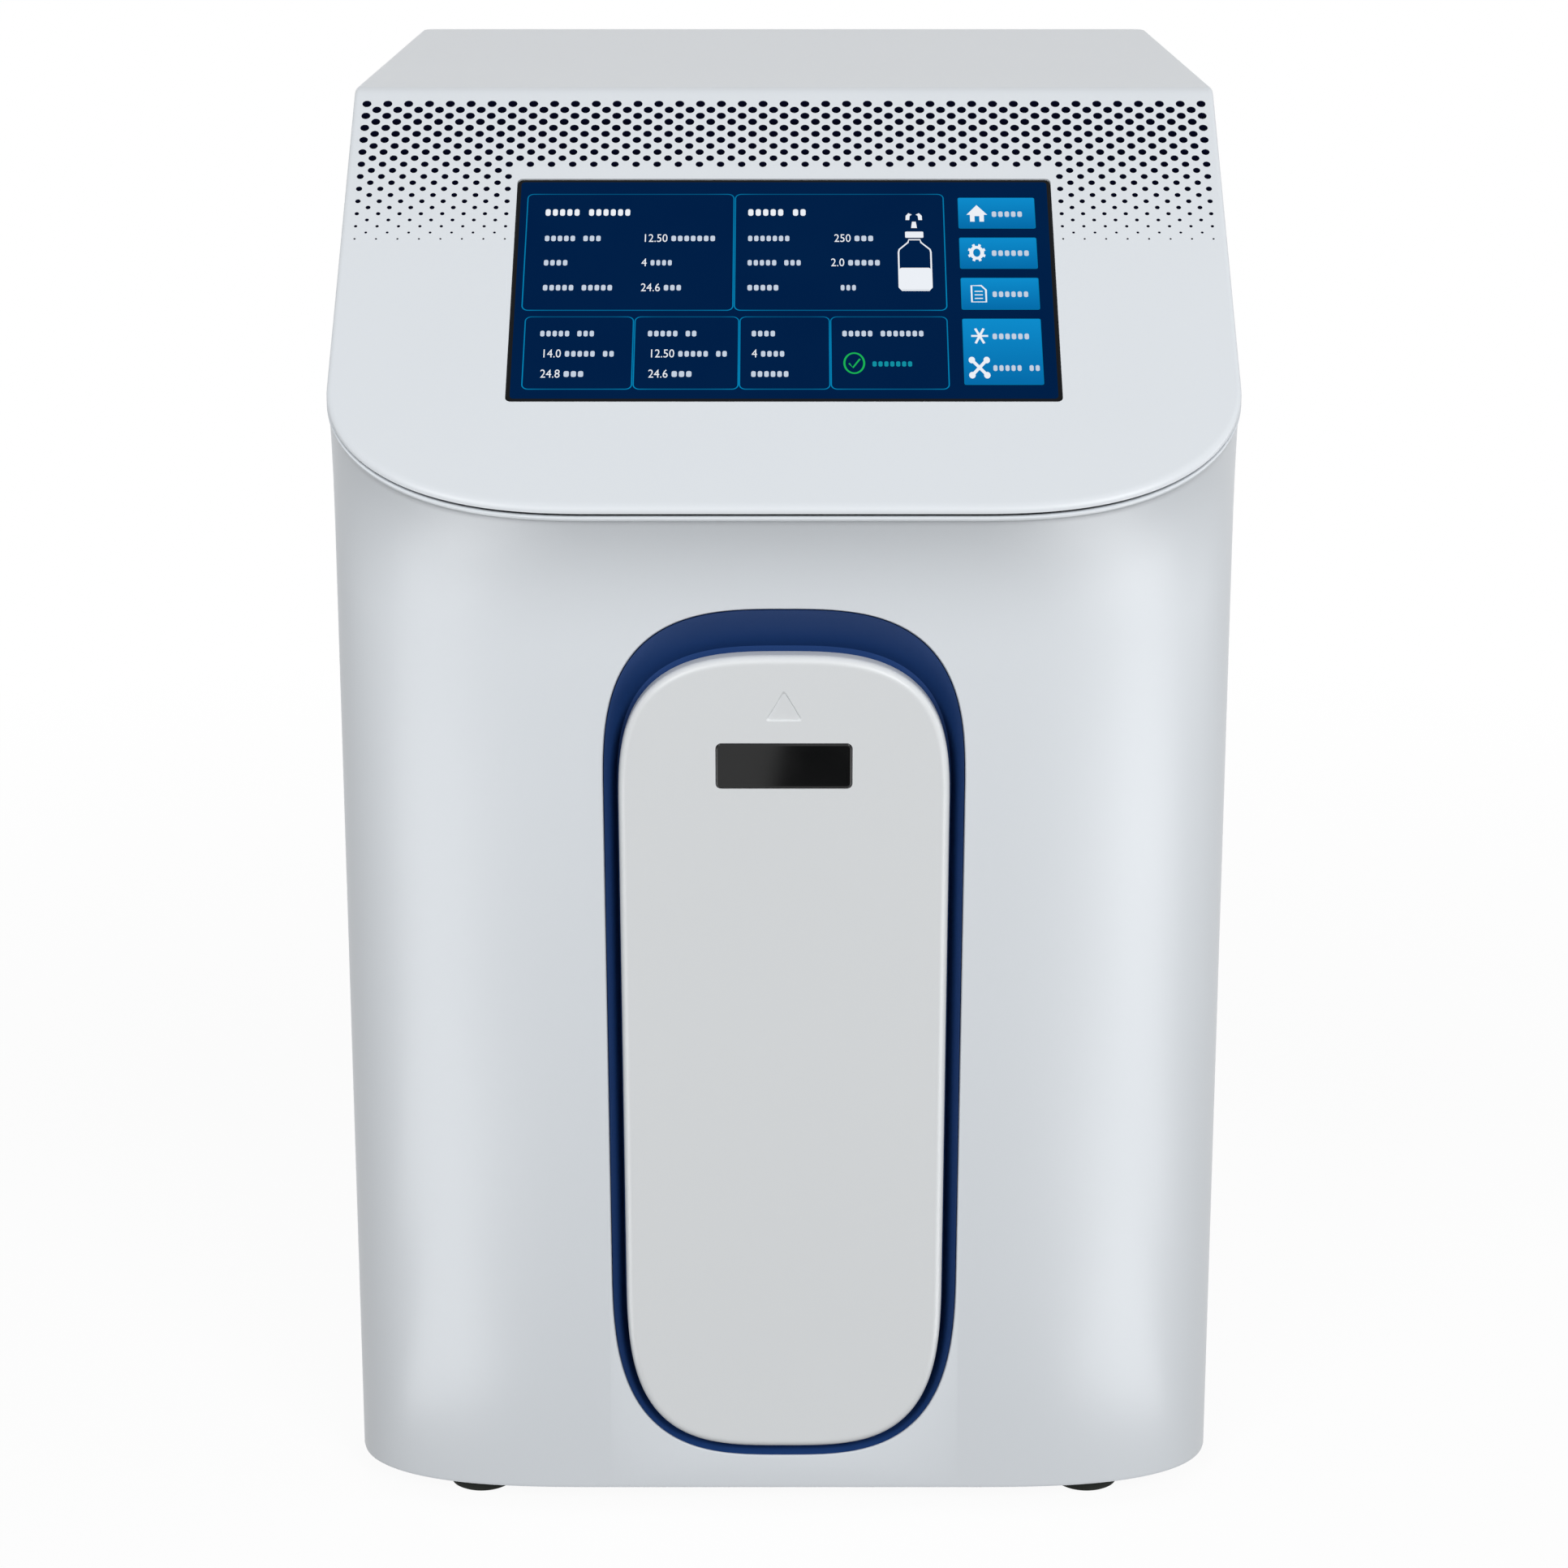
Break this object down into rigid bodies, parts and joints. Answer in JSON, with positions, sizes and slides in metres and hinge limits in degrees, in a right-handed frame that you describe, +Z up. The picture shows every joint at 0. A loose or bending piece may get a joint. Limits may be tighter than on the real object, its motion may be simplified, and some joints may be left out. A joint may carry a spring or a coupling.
{
  "type": "ultrapure water system",
  "caption": "White benchtop cabinet that makes ultrapure water, with a sloping touch screen panel, a long hinged front door over its cartridges and rear hose ports.",
  "frame": {"origin": "centre of the cabinet's footprint, on the bench under its feet", "axes": "+X to the right as seen from the front, +Y from the front to the back, +Z up"},
  "size_m": [0.3304, 0.455, 0.523],
  "materials": {
    "white_shell": "satin white moulded plastic",
    "navy_plastic": "satin dark blue plastic",
    "black_gloss": "glossy black plastic",
    "screen_glass": "cover glass over a lit screen",
    "dark_plastic": "dark grey moulded plastic",
    "rubber": "charcoal rubber",
    "grey_plastic": "grey moulded plastic",
    "clear_housing": "milky cartridge plastic",
    "blue_cap": "blue moulded plastic",
    "steel": "brushed stainless steel",
    "coated_steel": "light grey powder-coated steel",
    "board_green": "green circuit board",
    "filter_foam": "dark navy filter foam",
    "tube_white": "white plastic tube"
  },
  "bodies": {
    "cabinet": {"case_shell": "white_shell", "lid": "white_shell", "base_pan": "coated_steel", "foot_front_left": "rubber", "foot_front_right": "rubber", "foot_rear_left": "rubber", "foot_rear_right": "rubber", "door_surround": "navy_plastic", "hinge_pin_left": "steel", "hinge_pin_right": "steel", "strike_plate": "steel", "bay_liner": "grey_plastic", "cartridge_head": "dark_plastic", "display_glass": "screen_glass", "display_module": "dark_plastic", "control_board": "board_green", "vent_filter": "filter_foam", "chassis_plate": "coated_steel", "ro_cap_lower": "blue_cap", "ro_housing": "tube_white", "ro_cap_upper": "blue_cap", "uv_reactor": "steel", "pump_motor": "dark_plastic", "pump_head": "grey_plastic", "power_supply": "steel", "tube_feed": "tube_white", "tube_permeate": "tube_white", "rear_panel": "coated_steel", "port_feed_water": "grey_plastic", "port_drain": "grey_plastic", "port_storage_tank": "grey_plastic", "port_product_water": "grey_plastic", "panel_screw_lower_left": "steel", "panel_screw_lower_right": "steel", "panel_screw_upper_left": "steel", "panel_screw_upper_right": "steel", "power_inlet": "dark_plastic", "switch_bezel": "dark_plastic", "fan_frame": "dark_plastic", "fan_guard": "steel", "solenoid_valve": "blue_cap"},
    "door": {"door": "white_shell", "door_window": "black_gloss", "door_magnet": "dark_plastic"},
    "rocker": {"switch_rocker": "black_gloss"},
    "rotor": {"fan_rotor": "dark_plastic"},
    "cartridge_left": {"cartridge_left": "clear_housing"},
    "cartridge_right": {"cartridge_right": "clear_housing"}
  },
  "joints": [
    {"name": "door_hinge", "type": "hinge", "parent": "cabinet", "child": "door", "pos_m": [0, -0.2128, 0.032], "axis": [1, 0, 0], "range_deg": [0, 85]},
    {"name": "rocker_tilt", "type": "hinge", "parent": "cabinet", "child": "rocker", "pos_m": [-0.092, 0.2053, 0.122], "axis": [1, 0, 0], "range_deg": [0, 20]},
    {"name": "fan_spin", "type": "hinge", "parent": "cabinet", "child": "rotor", "pos_m": [0.062, 0.19, 0.372], "axis": [0, 1, 0], "continuous": true},
    {"name": "cartridge_left_twist", "type": "hinge", "parent": "cabinet", "child": "cartridge_left", "pos_m": [-0.0255, -0.1692, 0.2], "axis": [0, 0, 1], "range_deg": [0, 90]},
    {"name": "cartridge_right_twist", "type": "hinge", "parent": "cabinet", "child": "cartridge_right", "pos_m": [0.0255, -0.1692, 0.2], "axis": [0, 0, 1], "range_deg": [0, 90]}
  ]
}
